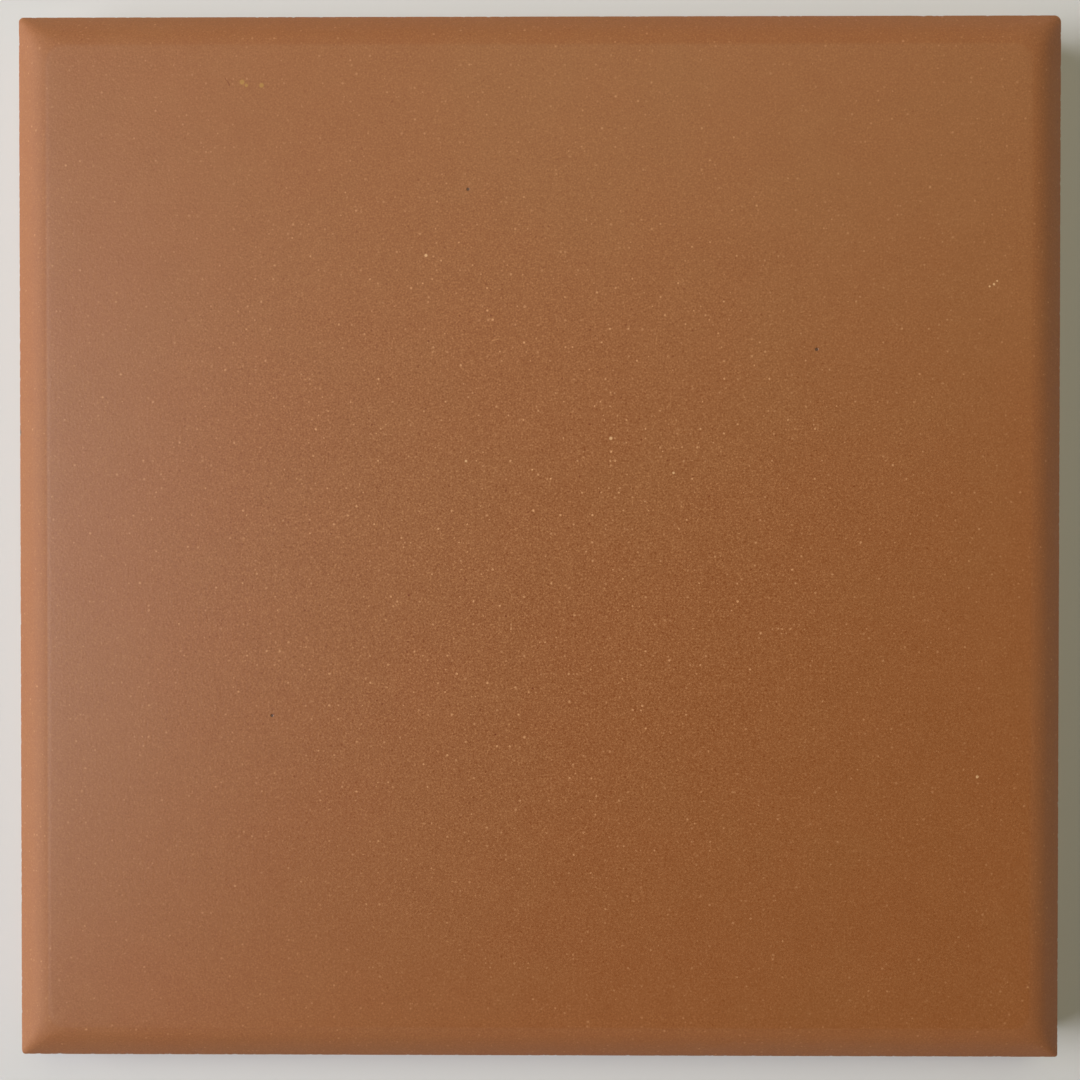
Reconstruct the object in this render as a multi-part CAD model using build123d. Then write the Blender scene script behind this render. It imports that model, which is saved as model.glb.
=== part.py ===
from build123d import *
import math
import os

# A square pressed porcelain floor tile, lying on its back.
# X and Y run along its sides, +Z points out of its face, and the origin is the middle of its back.
# All lengths are in millimetres and all angles in degrees.

# The whole tile: a 100 mm module less its joint
side = 98.0
thickness = 7.0
corner_radius = 0.7

# The face rolls down to the joint: a faint shoulder first, then the roll, then a small hard arris
shoulder_radius = 8.0
shoulder_slope = 8.0
roll_radius = 2.9
roll_slope = 52.0
arris_radius = 0.35

# The flank: a straight collar under the arris, then the draft that lets the tile leave its mould
collar_height = 2.4
flank_draft = 3.0
heel_chamfer = 0.45

# The back: square keying pockets between ribs, inside a plain rim
pockets_per_side = 6
pocket_pitch = 14.6
pocket_size = 11.4
pocket_depth = 0.8
pocket_corner_radius = 2.0
pocket_draft = 20.0

# How far a cutting shape reaches past the tile, so that no two of their faces coincide
overrun = 1.0


def arc_point(centre, radius, slope):
    """The point of an edge arc where the surface falls away from level at this slope."""
    angle = math.radians(slope)
    return (centre[0] + radius * math.sin(angle), centre[1] + radius * math.cos(angle))


def roll_arcs():
    """The shoulder's and the roll's arcs on the +X side, three points each, ending on the flank."""
    angle = math.radians(shoulder_slope)
    step = shoulder_radius - roll_radius
    shoulder = (0.0, thickness - shoulder_radius)
    roll = (shoulder[0] + step * math.sin(angle), shoulder[1] + step * math.cos(angle))
    run = arc_point(roll, roll_radius, roll_slope)[0]
    arcs = []
    for centre, radius, first, last in (
        (shoulder, shoulder_radius, 0.0, shoulder_slope),
        (roll, roll_radius, shoulder_slope, roll_slope),
    ):
        slopes = (first, (first + last) / 2, last)
        points = [arc_point(centre, radius, slope) for slope in slopes]
        arcs.append([(x + side / 2 - run, z) for x, z in points])
    return arcs


def rim_height():
    """The height at which the roll meets the flank, before the arris is rounded."""
    return roll_arcs()[-1][-1][1]


def blank():
    """The flank's form all round: a rounded square collar above a drafted foot with a chamfered heel."""
    foot_height = rim_height() - collar_height
    plan = RectangleRounded(side, side, corner_radius)
    collar = extrude(plan, amount=thickness + overrun - foot_height)
    foot = mirror(extrude(plan, amount=foot_height, taper=flank_draft), about=Plane.XY)
    body = Pos(0.0, 0.0, foot_height) * (collar + foot)
    heel = body.faces().sort_by(Axis.Z)[0].edges()
    return chamfer(heel, heel_chamfer)


def rolled_bar():
    """A long bar along Y whose top is the face and its two rolls, and whose sides clear the flank."""
    shoulder, roll = roll_arcs()
    rise = overrun * math.tan(math.radians(roll_slope))
    past_flank = (side / 2 + overrun, roll[-1][1] - rise)
    with BuildSketch(Plane.XZ) as outline:
        with BuildLine():
            Line((0.0, thickness), shoulder[0])
            ThreePointArc(*shoulder)
            ThreePointArc(*roll)
            Polyline(roll[-1], past_flank, (past_flank[0], -overrun), (0.0, -overrun), (0.0, thickness))
        make_face()
        mirror(about=Plane.YZ)
    return extrude(outline.sketch, amount=side / 2 + overrun, both=True)


def cushion():
    """The blank under two crossed bars, so that the rolls mitre at the corners, with its arris rounded."""
    bar = rolled_bar()
    body = blank() & bar & bar.rotate(Axis.Z, 90.0)
    rim = []
    for edge in body.edges():
        box = edge.bounding_box()
        if box.min.Z > rim_height() - arris_radius and box.max.Z < rim_height() + corner_radius:
            rim.append(edge)
    return fillet(rim, arris_radius)


def pocket():
    """One keying pocket as a solid: a rounded square that narrows on its way into the back."""
    mouth = RectangleRounded(pocket_size, pocket_size, pocket_corner_radius)
    return extrude(mouth, amount=pocket_depth, taper=pocket_draft)


def tile():
    """The pressed tile: the cushion with its back keyed."""
    one = pocket()
    grid = GridLocations(pocket_pitch, pocket_pitch, pockets_per_side, pockets_per_side)
    return cushion() - [place * one for place in grid]


os.makedirs("parts", exist_ok=True)
export_step(tile(), "parts/tile.step")
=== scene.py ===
import math

import bpy
import numpy as np
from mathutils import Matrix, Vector


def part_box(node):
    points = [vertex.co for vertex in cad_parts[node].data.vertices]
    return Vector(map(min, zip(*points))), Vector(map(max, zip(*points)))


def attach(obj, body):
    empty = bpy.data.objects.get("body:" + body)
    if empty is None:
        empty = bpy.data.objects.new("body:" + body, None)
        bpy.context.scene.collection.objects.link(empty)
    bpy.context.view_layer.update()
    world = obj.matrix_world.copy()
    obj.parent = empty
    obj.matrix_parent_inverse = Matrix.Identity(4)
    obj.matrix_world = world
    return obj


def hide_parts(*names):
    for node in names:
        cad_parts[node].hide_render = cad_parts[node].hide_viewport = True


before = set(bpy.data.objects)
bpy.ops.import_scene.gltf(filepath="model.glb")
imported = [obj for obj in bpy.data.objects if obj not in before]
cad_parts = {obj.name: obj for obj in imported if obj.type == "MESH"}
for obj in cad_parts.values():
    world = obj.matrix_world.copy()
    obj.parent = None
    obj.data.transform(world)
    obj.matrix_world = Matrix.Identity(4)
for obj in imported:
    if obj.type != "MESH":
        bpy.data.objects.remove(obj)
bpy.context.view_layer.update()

mm = 0.001
lowCorner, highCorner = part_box("tile")


# Node trees

class Wire:  # an output socket, on which Python's operators add Math nodes
    def __init__(self, bench, socket):
        self.bench = bench
        self.socket = socket

    def __add__(self, other):
        return self.bench.math("ADD", self, other)

    def __sub__(self, other):
        return self.bench.math("SUBTRACT", self, other)

    def __rsub__(self, other):
        return self.bench.math("SUBTRACT", other, self)

    def __mul__(self, other):
        return self.bench.math("MULTIPLY", self, other)

    def __truediv__(self, other):
        return self.bench.math("DIVIDE", self, other)

    def __rtruediv__(self, other):
        return self.bench.math("DIVIDE", other, self)

    __radd__ = __add__
    __rmul__ = __mul__


class Bench:  # one node tree under construction, for a shader or for geometry
    def __init__(self, tree):
        self.tree = tree

    def node(self, nodeType, settings=None, **values):
        # settings go first; a value goes to the socket of its name, or of its number, as in _0
        made = self.tree.nodes.new(nodeType)
        for name, setting in (settings or {}).items():
            setattr(made, name, setting)
        for name, value in values.items():
            key = int(name[1:]) if name[0] == "_" else name.replace("_", " ")
            self.feed(made.inputs[key], value)
        return made

    def add(self, nodeType, settings=None, output=0, **values):
        return Wire(self, self.node(nodeType, settings, **values).outputs[output])

    def feed(self, socket, value):
        if isinstance(value, Wire):
            self.tree.links.new(value.socket, socket)
        else:
            socket.default_value = value

    def math(self, operation, first, second=0.0, third=0.0):
        return self.add("ShaderNodeMath", {"operation": operation}, _0=first, _1=second, _2=third)

    def sin(self, angle):
        return self.math("SINE", angle)

    def cos(self, angle):
        return self.math("COSINE", angle)

    def clamp(self, value, low=0.0, high=1.0):
        return self.add("ShaderNodeClamp", Value=value, Min=low, Max=high)

    def smooth(self, value, start, end):  # 0 at start, 1 at end, and an S between them
        settings = {"interpolation_type": "SMOOTHSTEP"}
        return self.add("ShaderNodeMapRange", settings, Value=value, From_Min=start, From_Max=end)

    def vector(self, operation, first, second=(0.0, 0.0, 0.0)):
        output = 1 if operation in ("LENGTH", "DISTANCE", "DOT_PRODUCT") else 0
        settings = {"operation": operation}
        return self.add("ShaderNodeVectorMath", settings, output, _0=first, _1=second)

    def scale(self, vector, factor):
        return self.add("ShaderNodeVectorMath", {"operation": "SCALE"}, _0=vector, Scale=factor)

    def split(self, value):
        return [Wire(self, part) for part in self.node("ShaderNodeSeparateXYZ", Vector=value).outputs]

    def join(self, x, y, z=0.0):
        return self.add("ShaderNodeCombineXYZ", X=x, Y=y, Z=z)

    def colour(self, blend, share, first, second):  # two colours, mixed by share
        settings = {"data_type": "RGBA", "blend_type": blend}
        return self.add("ShaderNodeMix", settings, 2, _0=share, _6=first, _7=second)


# The tile's form

tileForm = {
    "Side": highCorner.x - lowCorner.x,
    "Thickness": highCorner.z - lowCorner.z,
    "Corner Far Left": 0.42 * mm,  # radii of the four plan corners
    "Corner Far Right": 0.62 * mm,
    "Corner Near Left": 0.34 * mm,
    "Corner Near Right": 0.24 * mm,
    "Corner Spread": 0.35,  # how fast those radii grow up the roll, which softens the mitres
    "Roll Radius": 4.0 * mm,
    "Roll Slope": math.radians(32.0),
    "Bevel Radius": 12.0 * mm,
    "Bevel Slope": math.radians(42.0),
    "Arris Radius": 0.35 * mm,
    "Collar Height": 1.69 * mm,
    "Flank Draft": math.radians(3.0),
    "Heel Radius": 0.47 * mm,
    "Pocket Pitch": 14.6 * mm,
    "Nibble Depth": 0.05 * mm,  # fine wear of the arris
    "Nibble Size": 0.4 * mm,
    "Chip Depth": 0.10 * mm,  # the larger, rarer chips
    "Chip Size": 2.6 * mm,
    "Seed": 11.0,
}
pocketsPerSide = 6

wearForm = {
    "starts": (2.3, 3.2),  # the stations between which the wear sets in, and between which it ends
    "ends": (4.7, 4.0),
    "nibbleLevels": (0.50, 0.80),  # the noise's level where a nibble or chip begins, and is full
    "chipLevels": (0.69, 0.80),
    "raggedness": 0.35,  # how much the nibbles' noise breaks up the chips' outlines
    "slant": 0.7,  # how far down the wear goes, against how far in
    "detail": 1.5,
}

pocketForm = {
    "mouth": 11.4 * mm,
    "depth": 0.8 * mm,
    "cornerRadius": 2.0 * mm,
    "wallSlope": math.radians(70.0),
    "lipRadius": 0.12 * mm,
    "floorRadius": 0.3 * mm,
    "edgeBand": 0.15 * mm,  # a narrow flat band along the lip and round the floor
    "cornerSteps": 6,
    "stepsPerSide": 16,
}

# The sheet is cut by its station on the section: 0 to 1 crosses the face from its middle, then
# come the roll, the bevel, the arris, the collar, the foot, the heel, and the back to 8
collarStart, backStart = 4.0, 7.0
sectionCuts = [  # from one station to the next, in so many rows, with so many columns a side
    (0.93, 1.0, 2, 96),
    (1.0, 2.0, 12, 192),
    (2.0, 3.0, 6, 384),
    (3.0, 4.0, 8, 768),
    (4.0, 4.15, 2, 768),
    (4.15, 5.0, 3, 384),
    (5.0, 6.0, 4, 192),
    (6.0, 7.0, 4, 192),
    (7.0, 8.0, 2, 96),
]
faceSteps = 48  # the middle of the face is a plain grid

# Where each part of the surface lies in the bake map, as shares of its width
bakeMap = {"gap": 0.004, "faceWidth": 0.760, "backWidth": 0.228}


def squareRing(steps):  # points round a square of half width 1, anticlockwise from the near left
    along = np.arange(steps) / steps * 2 - 1
    edge = np.ones(steps)
    near = np.stack([along, -edge], 1)
    right = np.stack([edge, along], 1)
    return np.concatenate([near, right, -near, -right])


def stitch(faces, outer, inner):  # joins two closed rings, of which one may be twice as fine
    if len(outer) == len(inner):
        for i in range(len(outer)):
            j = (i + 1) % len(outer)
            faces.append((inner[i], outer[i], outer[j], inner[j]))
        return
    fine, coarse = (outer, inner) if len(outer) > len(inner) else (inner, outer)
    for i in range(len(coarse)):
        j = (i + 1) % len(coarse)
        start, middle, end = fine[2 * i], fine[2 * i + 1], fine[(2 * i + 2) % len(fine)]
        three = (coarse[i], start, middle), (coarse[i], middle, coarse[j]), (coarse[j], middle, end)
        faces += [face if fine is outer else face[::-1] for face in three]


def addRing(places, faces, plan, height, last):
    ring = list(range(len(places), len(places) + len(plan)))
    places += [(x, y, height) for x, y in plan]
    stitch(faces, ring, last)
    return ring


def meshObject(name, places, faces):
    mesh = bpy.data.meshes.new(name)
    mesh.from_pydata(places, [], faces)
    made = bpy.data.objects.new(name, mesh)
    bpy.context.scene.collection.objects.link(made)
    return made


def uncutSheet():
    # A point's x and y are its way out from the middle, on a square of half width 1, and its z is
    # its station on the section: the tile's tree works out the real place from them
    reach = sectionCuts[0][0]
    places, faces = [], []
    width = faceSteps + 1
    for row in range(width):
        for column in range(width):
            x, y = column / faceSteps * 2 - 1, row / faceSteps * 2 - 1
            size = max(abs(x), abs(y))
            places.append((x / size, y / size, size * reach) if size else (0.0, 0.0, 0.0))
    for row in range(faceSteps):
        for column in range(faceSteps):
            corner = row * width + column
            faces.append((corner, corner + 1, corner + width + 1, corner + width))
    ring = list(range(faceSteps))
    ring += [row * width + faceSteps for row in range(faceSteps)]
    ring += [faceSteps * width + faceSteps - column for column in range(faceSteps)]
    ring += [(faceSteps - row) * width for row in range(faceSteps)]
    for start, end, rows, columns in sectionCuts:
        for row in range(1, rows + 1):
            station = start + (end - start) * row / rows
            ring = addRing(places, faces, squareRing(columns), station, ring)
    return meshObject("uncutSheet", places, faces)


def roundedOutline(width, radius):  # in step with squareRing, so that the two join point to point
    half = width / 2 - radius
    perSide, inCorner = pocketForm["stepsPerSide"], pocketForm["cornerSteps"]
    side = []
    for step in range(perSide):
        fromEnd = step - perSide if step > perSide / 2 else step
        if abs(fromEnd) <= inCorner / 2:
            middle, start = (half, 315.0) if fromEnd < 0 else (-half, 225.0)
            angle = math.radians(start + 90.0 * fromEnd / inCorner)
            side.append((middle + radius * math.cos(angle), radius * math.sin(angle) - half))
        else:
            share = (step - inCorner / 2) / (perSide - inCorner)
            side.append((half * (2 * share - 1), -half - radius))
    points = []
    for quarter in range(4):
        cos, sin = [(1, 0), (0, 1), (-1, 0), (0, -1)][quarter]
        points += [(x * cos - y * sin, x * sin + y * cos) for x, y in side]
    return points


def pocketCell():  # one square of the back with its pocket, facing down
    lip, floor, slope = pocketForm["lipRadius"], pocketForm["floorRadius"], pocketForm["wallSlope"]
    depth, band = pocketForm["depth"], pocketForm["edgeBand"]
    straight = depth - (lip + floor) * (1 - math.cos(slope))
    floorStart = lip * math.sin(slope) + straight / math.tan(slope)
    section = [(-band, 0.0)]  # how far in from the mouth, and how high
    for share in (0.0, 0.5, 1.0):
        angle = slope * share
        section.append((lip * math.sin(angle), lip * (1 - math.cos(angle))))
    for share in (0.0, 0.33, 0.67, 1.0):
        angle = slope * (1 - share)
        inward = floorStart + floor * (math.sin(slope) - math.sin(angle))
        section.append((inward, depth - floor * (1 - math.cos(angle))))
    section.append((section[-1][0] + band, depth))
    places, faces = [], []
    square = squareRing(pocketForm["stepsPerSide"]) * tileForm["Pocket Pitch"] / 2
    ring = list(range(len(square)))
    places += [(x, y, 0.0) for x, y in square]
    for inward, height in section:
        plan = roundedOutline(pocketForm["mouth"] - 2 * inward, pocketForm["cornerRadius"] - inward)
        ring = addRing(places, faces, plan, height, ring)
    faces.append(ring[::-1])
    return meshObject("pocketCell", places, faces)


def sectionPlace(bench, form, station):
    # The section's half width and height at a station, how far a walk from the middle of the face
    # has come, and how much the plan corners have opened up the roll
    sin, cos = bench.sin, bench.cos
    crossed = [bench.clamp(station - stretch) for stretch in range(8)]
    roll, bevel, arris = form["Roll Radius"], form["Bevel Radius"], form["Arris Radius"]
    rollEnd, draft = form["Roll Slope"], form["Flank Draft"]
    bevelEnd = bench.math("ARCSINE", (bevel * sin(form["Bevel Slope"]) - arris) / (bevel - arris))
    upright = math.pi / 2

    # The face's edge: three arcs, each tangent to the one before
    edgeRun = roll * sin(rollEnd) + bevel * (sin(bevelEnd) - sin(rollEnd))
    edgeRun = edgeRun + arris * (1.0 - sin(bevelEnd))
    faceHalf = form["Side"] * 0.5 - edgeRun
    run, drop, walk = 0.0, 0.0, faceHalf * crossed[0]
    for radius, first, last, share in (
        (roll, 0.0, rollEnd, crossed[1]),
        (bevel, rollEnd, bevelEnd, crossed[2]),
        (arris, bevelEnd, upright, crossed[3]),
    ):
        slope = first + (last - first) * share
        run = run + radius * (sin(slope) - sin(first))
        drop = drop + radius * (cos(first) - cos(slope))
        walk = walk + radius * (slope - first)

    # The flank: the collar, the drafted foot and the heel's arc
    sharpDrop = roll * (1.0 - cos(rollEnd)) + bevel * (cos(rollEnd) - cos(form["Bevel Slope"]))
    edgeDrop = roll * (1.0 - cos(rollEnd)) + bevel * (cos(rollEnd) - cos(bevelEnd))
    edgeDrop = edgeDrop + arris * cos(bevelEnd)
    heel = form["Heel Radius"]
    heelHeight = heel * (1.0 - sin(draft))
    footTop = form["Thickness"] - sharpDrop - form["Collar Height"]
    collarLength = form["Thickness"] - edgeDrop - footTop
    footLength = footTop - heelHeight
    footInset = footLength * bench.math("TANGENT", draft) * crossed[5]
    heelSlope = draft + (upright - draft) * crossed[6]
    heelInset = heel * (cos(draft) - cos(heelSlope))
    height = form["Thickness"] - drop - collarLength * crossed[4] - footLength * crossed[5]
    height = height - heel * (sin(heelSlope) - sin(draft))
    walk = walk + collarLength * crossed[4] + footLength * crossed[5] + heel * (heelSlope - draft)

    # The back, in to the grid of pockets
    half = faceHalf * crossed[0] + run - footInset - heelInset
    gridHalf = form["Pocket Pitch"] * (pocketsPerSide / 2)
    half = half + (gridHalf - half) * crossed[7]
    opened = form["Corner Spread"] * (edgeRun - run)
    closed = (1.0 - crossed[7]) * crossed[0]
    return half, height, walk, opened, closed, footInset


def arrisWear(bench, form, x, y, half, height, station):
    # Nibbles and chips along the arris, as a depth
    place = bench.join(x * half, y * half, height)
    scales = [1.0 / form["Nibble Size"], 1.0 / form["Chip Size"]]
    settings = {"noise_dimensions": "4D"}
    values = {"Vector": place, "W": form["Seed"], "Detail": wearForm["detail"]}
    nibble, chip = [
        bench.add("ShaderNodeTexNoise", settings, Scale=scale, **values) for scale in scales
    ]
    band = bench.smooth(station, *wearForm["starts"]) * bench.smooth(station, *wearForm["ends"])
    fine = bench.smooth(nibble, *wearForm["nibbleLevels"]) * form["Nibble Depth"]
    ragged = chip + (nibble - 0.5) * wearForm["raggedness"]
    coarse = bench.smooth(ragged, *wearForm["chipLevels"]) * form["Chip Depth"]
    return band * (fine + coarse)


def bakePlace(bench, x, y, station, half, walk, faceWalk):
    # Where a point of the sheet lies in the bake map. The face fills the low left corner, the back
    # the high right one, and the four flanks are upright strips between them
    def onFace(value):
        return bench.add("GeometryNodeFieldOnDomain", {"domain": "FACE"}, Value=value)
    gap, faceWidth, backWidth = bakeMap["gap"], bakeMap["faceWidth"], bakeMap["backWidth"]
    scale = (faceWidth - gap) / (faceWalk * 2.0)
    middle = gap + (faceWidth - gap) / 2
    faceX, faceY = [middle + way * walk * scale for way in (x, y)]
    backMiddle, backScale = 1.0 - gap - backWidth / 2, backWidth / tileForm["Side"]
    backX, backY = [backMiddle + way * half * backScale for way in (x, y)]

    meanX, meanY, meanStation = onFace(x), onFace(y), onFace(station)
    onSides = bench.math("GREATER_THAN", bench.math("ABSOLUTE", meanX), bench.math("ABSOLUTE", meanY))
    ahead = bench.math("GREATER_THAN", meanX + meanY, 0.0)
    strip = onSides * 2.0 + ahead
    along = y * onSides + x * (1.0 - onSides)
    stripPitch = (1.0 - 2 * gap - faceWidth) / 4
    stripX = faceWidth + gap + strip * stripPitch + (walk - faceWalk) * scale
    stripY = middle + along * faceWalk * scale

    isFlank = bench.math("GREATER_THAN", meanStation, collarStart)
    isBack = bench.math("GREATER_THAN", meanStation, backStart)
    mapX = faceX + (stripX - faceX) * isFlank
    mapY = faceY + (stripY - faceY) * isFlank
    return bench.join(mapX + (backX - mapX) * isBack, mapY + (backY - mapY) * isBack)


def storeMap(bench, geometry, place):
    settings = {"data_type": "FLOAT2", "domain": "CORNER"}
    values = {"Geometry": geometry, "Name": "OFBake", "Value": place}
    return bench.add("GeometryNodeStoreNamedAttribute", settings, **values)


def pressedTileTree():
    tree = bpy.data.node_groups.new("pressedTile", "GeometryNodeTree")
    bench = Bench(tree)
    tree.interface.new_socket(name="Sheet", in_out="INPUT", socket_type="NodeSocketGeometry")
    for name in tileForm:
        tree.interface.new_socket(name=name, in_out="INPUT", socket_type="NodeSocketFloat")
    tree.interface.new_socket(name="Pocket Cell", in_out="INPUT", socket_type="NodeSocketObject")
    tree.interface.new_socket(name="Body", in_out="INPUT", socket_type="NodeSocketMaterial")
    tree.interface.new_socket(name="Tile", in_out="OUTPUT", socket_type="NodeSocketGeometry")
    inputs = bench.node("NodeGroupInput").outputs
    form = {name: Wire(bench, inputs[name]) for name in tileForm}

    x, y, station = bench.split(bench.add("GeometryNodeInputPosition"))
    half, height, walk, opened, closed, footInset = sectionPlace(bench, form, station)
    wear = arrisWear(bench, form, x, y, half, height, station)
    worn = half - wear

    # The square ring's corners are drawn in onto arcs
    right, far = bench.math("GREATER_THAN", x, 0.0), bench.math("GREATER_THAN", y, 0.0)
    near = form["Corner Near Left"] + (form["Corner Near Right"] - form["Corner Near Left"]) * right
    distant = form["Corner Far Left"] + (form["Corner Far Right"] - form["Corner Far Left"]) * right
    radius = (near + (distant - near) * far + opened - footInset) * closed
    way = bench.join(x, y)
    reach = bench.scale(bench.vector("ABSOLUTE", way), worn)
    inner = bench.join(worn - radius, worn - radius)
    past = bench.vector("MAXIMUM", bench.vector("SUBTRACT", reach, inner), (0.0, 0.0, 0.0))
    pastX, pastY, _ = bench.split(past)
    length = bench.math("MAXIMUM", bench.vector("LENGTH", past), 1e-9)
    drawn = bench.scale(past, bench.math("MAXIMUM", pastX, pastY) / length)
    plan = bench.vector("ADD", bench.vector("MINIMUM", reach, inner), drawn)
    plan = bench.vector("MULTIPLY", plan, bench.vector("SIGN", way))
    place = bench.vector("ADD", plan, bench.join(0.0, 0.0, height - wear * wearForm["slant"]))

    faceWalk = sectionPlace(bench, form, collarStart)[2]
    mapped = bakePlace(bench, x, y, station, half, walk, faceWalk)
    sheet = storeMap(bench, Wire(bench, inputs["Sheet"]), mapped)
    sheet = bench.add("GeometryNodeSetPosition", Geometry=sheet, Position=place)

    span = form["Pocket Pitch"] * (pocketsPerSide - 1)
    counts = {"Vertices_X": pocketsPerSide, "Vertices_Y": pocketsPerSide}
    grid = bench.add("GeometryNodeMeshGrid", Size_X=span, Size_Y=span, **counts)
    cell = bench.add("GeometryNodeObjectInfo", output=4, Object=Wire(bench, inputs["Pocket Cell"]))
    pockets = bench.add("GeometryNodeInstanceOnPoints", Points=grid, Instance=cell)
    pockets = bench.add("GeometryNodeRealizeInstances", Geometry=pockets)
    pocketX, pocketY, _ = bench.split(bench.add("GeometryNodeInputPosition"))
    middle = 1.0 - bakeMap["gap"] - bakeMap["backWidth"] / 2
    onBack = [middle + way / tileForm["Side"] * bakeMap["backWidth"] for way in (pocketX, pocketY)]
    pockets = storeMap(bench, pockets, bench.join(*onBack))

    joined = bench.node("GeometryNodeJoinGeometry")
    for part in (pockets, sheet):
        tree.links.new(part.socket, joined.inputs[0])
    whole = Wire(bench, joined.outputs[0])
    body = bench.add("GeometryNodeMergeByDistance", Geometry=whole, Distance=2e-6)
    body = bench.add("GeometryNodeSetShadeSmooth", Geometry=body)
    body = bench.add("GeometryNodeRealizeInstances", Geometry=body)
    body = bench.add("GeometryNodeSetMaterial", Geometry=body, Material=Wire(bench, inputs["Body"]))
    bench.node("NodeGroupOutput", Tile=body)
    return tree


def pressTile(material):
    sheet, cell, tree = uncutSheet(), pocketCell(), pressedTileTree()
    for part in (sheet, cell):
        part.data.materials.append(material)
    modifier = sheet.modifiers.new("press", "NODES")
    modifier.node_group = tree
    values = {**tileForm, "Pocket Cell": cell, "Body": material}
    for item in tree.interface.items_tree:
        if item.in_out == "INPUT" and item.name in values:
            modifier[item.identifier] = values[item.name]
    shown = bpy.context.evaluated_depsgraph_get()
    mesh = bpy.data.meshes.new_from_object(sheet.evaluated_get(shown))
    piece = bpy.data.objects.new("firedTile", mesh)
    bpy.context.scene.collection.objects.link(piece)
    for spare in (sheet, cell):
        bpy.data.objects.remove(spare)
    return piece


# The fired body

porcelain = {
    "body": (0.275, 0.095, 0.0228),
    "redder": (0.275, 0.091, 0.0210),  # where the clay has fired a little redder
    "patchSize": 15.0,  # this and the sizes below are in millimetres
    "patchLevels": (0.38, 0.62),
    "ior": 1.6,
    "roughness": 0.50,
    "roughnessGrain": 0.1,
    "edgeRoughness": 0.70,  # the roll, the flank and the back, which no punch has smoothed
    "edgeHeights": (6.999, 6.97),  # between these heights it gives way to the face's
    "mottleSize": 3.0,
    "mottle": 0.08,
    "grainSize": 0.16,
    "grainColour": (0.275, 0.165, 0.080),  # added where the grain is pale, taken off where it is dark
    "grainLevels": (0.50, 0.80, 0.20),  # the noise's levels: neutral, quite pale and quite dark
    "grainPale": 0.46,
    "grainDark": 0.26,
    "grainFade": (12.0, 50.0, 0.45),  # it fades from the middle outwards, to this share of itself
    "speckColour": (0.275, 0.175, 0.100),
    "paleSpeck": {"spacing": 0.42, "radius": 0.09, "strength": 1.1, "rarity": 5.0},
    "darkSpeck": {"spacing": 0.48, "radius": 0.09, "strength": 0.28, "rarity": 1.5},
    "bumpSize": 0.25,
    "bumpHeight": 0.008,
    "pitDepth": 0.05,
    "faceAbove": 6.5,  # the scratches stay on the face
}

# Small marks: the place of each on the tile, and its radius, in millimetres
marks = {
    "bright": [
        (-10.4, 26.1, 7.0, 0.15), (-6.7, 7.1, 7.0, 0.12), (6.7, 9.2, 7.0, 0.16), (12.5, 6.0, 7.0, 0.12),
        (42.0, 23.4, 7.0, 0.12), (41.6, 23.2, 7.0, 0.10), (42.3, 23.7, 7.0, 0.09),
        (40.6, -22.1, 7.0, 0.14),
    ],
    # pits and small chips on the face and at the left arris; their dark colour below is painted shade
    "paintedShadePit": [
        (25.7, 17.4, 7.0, 0.16), (-6.5, 32.2, 7.0, 0.15), (-24.7, -16.5, 7.0, 0.14),
        (-48.9, 9.9, 5.0, 0.40), (-48.9, 10.5, 5.0, 0.22), (-48.9, 13.6, 5.0, 0.20),
        (-48.9, -3.8, 5.0, 0.26),
    ],
    "crumb": [(-27.4, 42.1, 7.0, 0.24), (-25.6, 41.8, 7.0, 0.22), (-27.0, 41.8, 7.0, 0.16)],
}
markLooks = {  # the colour of each kind, and how much of the body it hides
    "bright": ((0.62, 0.36, 0.18), 1.0),
    "crumb": ((0.40, 0.21, 0.035), 0.75),
    # the pits' near-black is painted shade, standing in for the shadow inside a hollow, not the clay's
    # own colour
    "paintedShadePit": ((0.045, 0.018, 0.008), 0.85),
}
faceScratches = [  # in millimetres and degrees; half is half the width, and a dark tone is negative
    {"place": (-2.6, -5.0), "turn": -72.0, "length": 2.2, "half": 0.05, "bend": 0.12, "tone": 0.22},
    {"place": (-6.5, -7.3), "turn": 48.0, "length": 1.8, "half": 0.05, "bend": -0.10, "tone": 0.16},
    {"place": (-28.7, 42.1), "turn": -60.0, "length": 1.1, "half": 0.06, "bend": 0.30, "tone": -0.30},
    {"place": (10.9, 18.3), "turn": 80.0, "length": 1.0, "half": 0.05, "bend": 0.10, "tone": 0.45},
    {"place": (-4.0, 18.3), "turn": 15.0, "length": 0.9, "half": 0.06, "bend": 0.15, "tone": 0.55},
]


def noise(bench, place, size, detail=2.0, roughness=0.5):  # a feature's size in millimetres
    values = {"Scale": 1.0 / size, "Detail": detail, "Roughness": roughness}
    return bench.add("ShaderNodeTexNoise", Vector=place, **values)


def specks(bench, place, spacing, radius, strength, rarity):
    # Round specks of uneven size and with soft rims, most of them faint: how much each adds
    cells = bench.node("ShaderNodeTexVoronoi", Vector=place, Scale=1.0 / spacing)
    size, tone, _ = bench.split(Wire(bench, cells.outputs["Color"]))
    limit = (0.6 + 0.8 * size) * (radius / spacing)
    mask = bench.smooth(Wire(bench, cells.outputs["Distance"]) / limit, 1.3, 0.5)
    return mask * bench.math("POWER", tone, rarity) * strength


def spots(bench, place, kind):  # where any mark of this kind is
    mask = 0.0
    for *middle, radius in marks[kind]:
        away = bench.vector("DISTANCE", place, middle)
        mask = bench.math("MAXIMUM", mask, bench.smooth(away, radius * 1.25, radius * 0.6))
    return mask


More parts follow.
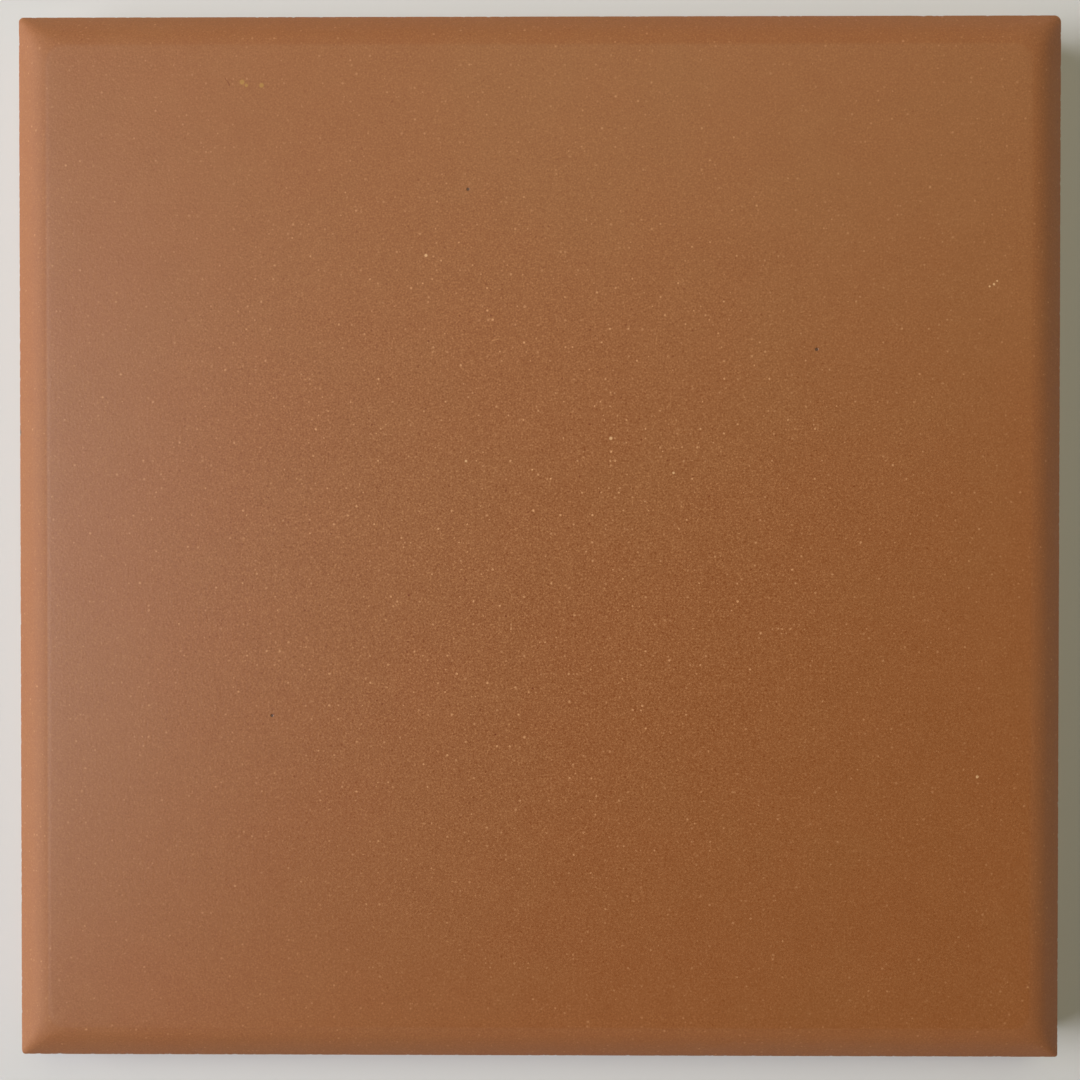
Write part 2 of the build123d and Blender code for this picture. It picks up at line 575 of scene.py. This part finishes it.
def scratch(bench, x, y, form):  # a short, slightly bent line on the face
    turn = math.radians(form["turn"])
    fromX, fromY = x - form["place"][0], y - form["place"][1]
    along = fromX * math.cos(turn) + fromY * math.sin(turn)
    across = fromY * math.cos(turn) - fromX * math.sin(turn) + along * along * form["bend"]
    reach = form["length"] / 2
    ends = bench.smooth(bench.math("ABSOLUTE", along), reach, reach * 0.6)
    line = bench.smooth(bench.math("ABSOLUTE", across), form["half"] * 1.5, form["half"] * 0.3)
    return ends * line * form["tone"]


def firedBody():
    material = bpy.data.materials.new("firedBody")
    material.use_nodes = True
    material.node_tree.nodes.clear()
    bench = Bench(material.node_tree)
    place = bench.scale(bench.add("ShaderNodeTexCoord", output=3), 1.0 / mm)
    x, y, z = bench.split(place)

    # The body: faint patches of hue, a fine grain, two kinds of speck, and short scratches
    patch = noise(bench, place, porcelain["patchSize"], 3.0, 0.6)
    mottle = noise(bench, place, porcelain["mottleSize"])
    grain = noise(bench, place, porcelain["grainSize"], 1.0)
    neutral, quitePale, quiteDark = porcelain["grainLevels"]
    level = bench.smooth(grain, neutral, quitePale) * porcelain["grainPale"]
    level = level - bench.smooth(grain, neutral, quiteDark) * porcelain["grainDark"]
    level = level - specks(bench, place, **porcelain["darkSpeck"])
    fadeStart, fadeEnd, faded = porcelain["grainFade"]
    fade = 1.0 - bench.smooth(bench.vector("LENGTH", place), fadeStart, fadeEnd) * (1.0 - faded)
    level = level * fade + (mottle - 0.5) * porcelain["mottle"]
    onFace = bench.math("GREATER_THAN", z, porcelain["faceAbove"])
    for form in faceScratches:
        level = level + scratch(bench, x, y, form) * onFace
    pale = specks(bench, place, **porcelain["paleSpeck"]) * fade
    body, redder = [(*porcelain[name], 1.0) for name in ("body", "redder")]
    colour = bench.colour("MIX", bench.smooth(patch, *porcelain["patchLevels"]), body, redder)
    colour = bench.vector("ADD", colour, bench.scale(porcelain["grainColour"], level))
    colour = bench.vector("ADD", colour, bench.scale(porcelain["speckColour"], pale))

    # The small marks, of which the pits also dip; the pits' near-black colour is painted shade, the
    # shadow in each small hollow
    where = {kind: spots(bench, place, kind) for kind in marks}
    for kind, (tone, share) in markLooks.items():
        colour = bench.colour("MIX", where[kind] * share, colour, (*tone, 1.0))
    height = (noise(bench, place, porcelain["bumpSize"]) - 0.5) * porcelain["bumpHeight"] * 2.0
    height = height - where["paintedShadePit"] * porcelain["pitDepth"]
    bump = bench.add("ShaderNodeBump", Strength=1.0, Distance=mm, Height=height)
    duller = porcelain["edgeRoughness"] - porcelain["roughness"]
    dull = bench.smooth(z, *porcelain["edgeHeights"]) * duller
    dull = dull + (grain - 0.5) * porcelain["roughnessGrain"]
    shader = bench.add(
        "ShaderNodeBsdfPrincipled",
        Base_Color=colour,
        Roughness=dull + porcelain["roughness"],
        IOR=porcelain["ior"],
        Normal=bump,
    )
    bench.node("ShaderNodeOutputMaterial", Surface=shader)
    return material


# The floor, the lights and the camera

setUp = {
    "cameraPlace": (0.000700, 0.000502, 0.107931),
    "cameraTurn": (-0.4024, 0.3105, 0.0200),
    "lens": 36.35,
    "paper": (0.64, 0.655, 0.690),
    "floorHalf": 3.0,
    "floorHeight": -0.00002,  # just clear of the tile's back
    "floorFade": (0.085, 0.25),  # how far from the tile the lit paper turns into the even background
    "background": (0.66, 0.65, 0.635),
    "backgroundTop": (0.36, 0.56),  # the sky's pale part ends here, as the sine of its height
    "skyLow": (0.090, 0.085, 0.070),  # what the sky adds to the lamps' light
    "skyHigh": (0.050, 0.047, 0.040),
    "skyTurn": (0.45, 0.75),  # between these heights, also as sines, the low light becomes the high
}
lamps = {
    "keyLight": {
        "place": (-0.479, 0.008, 0.361),
        "aim": (-0.045, 0.024, 0.0),
        "size": (0.58, 0.30),
        "spread": 75.0,
        "power": 1.075,
        "colour": (1.0, 0.964, 0.948),
    },
    "lowLight": {
        "place": (-0.587, 0.0, 0.115),
        "aim": (-0.03, 0.0, 0.0),
        "size": (0.50, 0.12),
        "spread": 90.0,
        "power": 0.12,
        "colour": (1.0, 0.95, 0.90),
    },
    "warmFill": {
        "place": (0.580, 0.0, 0.155),
        "aim": (0.03, 0.0, 0.0),
        "size": (0.50, 0.12),
        "spread": 90.0,
        "power": 0.11,
        "colour": (1.0, 0.74, 0.38),
    },
    "topLight": {
        "place": (0.08, 0.290, 0.440),
        "aim": (0.045, 0.050, 0.0),
        "size": (0.50, 0.32),
        "spread": 60.0,
        "power": 0.165,
        "colour": (1.0, 0.940, 0.620),
    },
}


def seenDirectly(bench):  # camera rays, and those that gloss or glass sends on
    path = bench.node("ShaderNodeLightPath").outputs
    kinds = [Wire(bench, path["Is %s Ray" % kind]) for kind in ("Camera", "Glossy", "Transmission")]
    return bench.clamp(kinds[0] + kinds[1] + kinds[2])


def plainFloor():
    half, height = setUp["floorHalf"], setUp["floorHeight"]
    corners = [(-half, -half), (half, -half), (half, half), (-half, half)]
    floor = meshObject("floor", [(x, y, height) for x, y in corners], [(0, 1, 2, 3)])
    material = bpy.data.materials.new("paper")
    material.use_nodes = True
    material.node_tree.nodes.clear()
    bench = Bench(material.node_tree)
    paper = bench.add("ShaderNodeBsdfDiffuse", Color=(*setUp["paper"], 1.0))
    even = bench.add("ShaderNodeEmission", Color=(*setUp["background"], 1.0))
    away = bench.vector("LENGTH", bench.add("ShaderNodeTexCoord", output=3))
    far = bench.smooth(away, *setUp["floorFade"]) * seenDirectly(bench)
    lit = bench.add("ShaderNodeMixShader", _0=far, _1=paper, _2=even)
    under = bench.add("ShaderNodeNewGeometry", output=6)  # the floor's underside hides nothing
    clear = bench.add("ShaderNodeBsdfTransparent")
    paperSheet = bench.add("ShaderNodeMixShader", _0=under, _1=lit, _2=clear)
    bench.node("ShaderNodeOutputMaterial", Surface=paperSheet)
    floor.data.materials.append(material)


def softLight(name, form):
    lamp = bpy.data.lights.new(name, "AREA")
    lamp.shape = "RECTANGLE"
    lamp.size, lamp.size_y = form["size"]
    lamp.spread = math.radians(form["spread"])
    lamp.energy = form["power"]
    lamp.color = form["colour"]
    made = bpy.data.objects.new(name, lamp)
    bpy.context.scene.collection.objects.link(made)
    made.location = form["place"]
    towards = Vector(form["aim"]) - made.location
    made.rotation_euler = towards.to_track_quat("-Z", "Y").to_euler()
    made.visible_camera = False


def studio():
    for name, form in lamps.items():
        softLight(name, form)
    world = bpy.data.worlds.new("studio")
    bpy.context.scene.world = world
    world.use_nodes = True
    world.node_tree.nodes.clear()
    bench = Bench(world.node_tree)
    _, _, up = bench.split(bench.add("ShaderNodeTexCoord"))
    low, high, pale = [(*setUp[name], 1.0) for name in ("skyLow", "skyHigh", "background")]
    light = bench.colour("MIX", bench.smooth(up, *setUp["skyTurn"]), low, high)
    band = bench.smooth(up, setUp["backgroundTop"][1], setUp["backgroundTop"][0])
    colour = bench.colour("MIX", band * seenDirectly(bench), light, pale)
    bench.node("ShaderNodeOutputWorld", Surface=bench.add("ShaderNodeBackground", Color=colour))


def camera():
    data = bpy.data.cameras.new("camera")
    data.lens = setUp["lens"]
    data.sensor_width = 36.0
    data.clip_start, data.clip_end = 0.001, 20.0
    made = bpy.data.objects.new("camera", data)
    made.location = setUp["cameraPlace"]
    made.rotation_euler = [math.radians(turn) for turn in setUp["cameraTurn"]]
    bpy.context.scene.collection.objects.link(made)
    bpy.context.scene.camera = made
    bpy.context.scene.view_settings.view_transform = "Standard"


camera()
studio()
plainFloor()
print("camera, lights and floor are set")

tile = pressTile(firedBody())
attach(tile, "root")
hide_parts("tile")
print("tile pressed:", len(tile.data.polygons), "faces")
